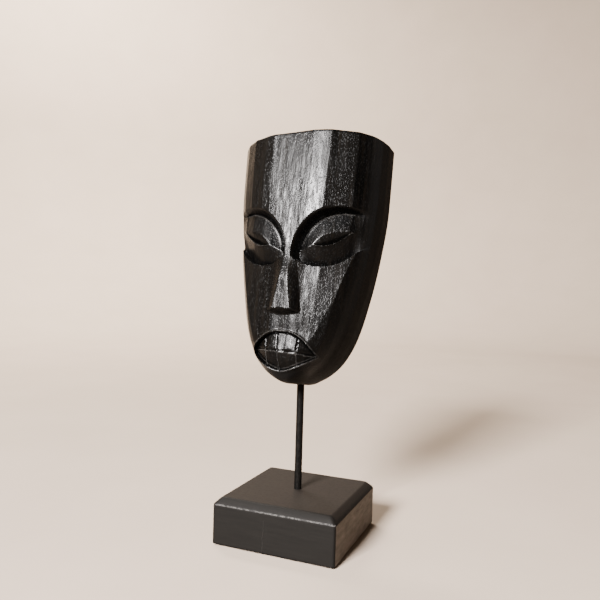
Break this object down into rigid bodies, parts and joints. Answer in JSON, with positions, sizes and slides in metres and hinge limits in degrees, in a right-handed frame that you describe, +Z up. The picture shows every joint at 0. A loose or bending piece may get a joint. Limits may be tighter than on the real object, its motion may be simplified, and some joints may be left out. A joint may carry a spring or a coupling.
{
  "type": "carved wooden mask on stand",
  "caption": "Tall carved face mask of black wood, hollow at the back, leaning back on a slim steel rod over a bevelled square wooden block.",
  "frame": {"origin": "middle of the footprint, on the plane that the four felt pads stand on", "axes": "+Z up along the rod; the face looks along -Y; X runs across the face"},
  "size_m": [0.1224, 0.1, 0.3212],
  "materials": {
    "mask_wood": "black stained and waxed, open pores",
    "base_wood": "charcoal paint, satin, worn at the edges",
    "rod_paint": "satin black paint",
    "bare_steel": "zinc plated",
    "nylon": "moulded, matte",
    "felt": "black felt"
  },
  "bodies": {
    "base": {"base_block": "base_wood", "felt_pad_front_left": "felt", "felt_pad_front_right": "felt", "felt_pad_rear_left": "felt", "felt_pad_rear_right": "felt"},
    "rod": {"stand_rod": "rod_paint", "washer": "bare_steel", "lock_nut": "bare_steel", "nylon_ring": "nylon"},
    "mask": {"mask": "mask_wood"}
  },
  "joints": [
    {"name": "rod_turn", "type": "hinge", "parent": "base", "child": "rod", "pos_m": [0, 0, 0.037], "axis": [0, 0, 1], "continuous": true},
    {"name": "mask_lift", "type": "slide", "parent": "rod", "child": "mask", "axis": [0, 0, 1], "range_m": [0, 0.045]}
  ]
}
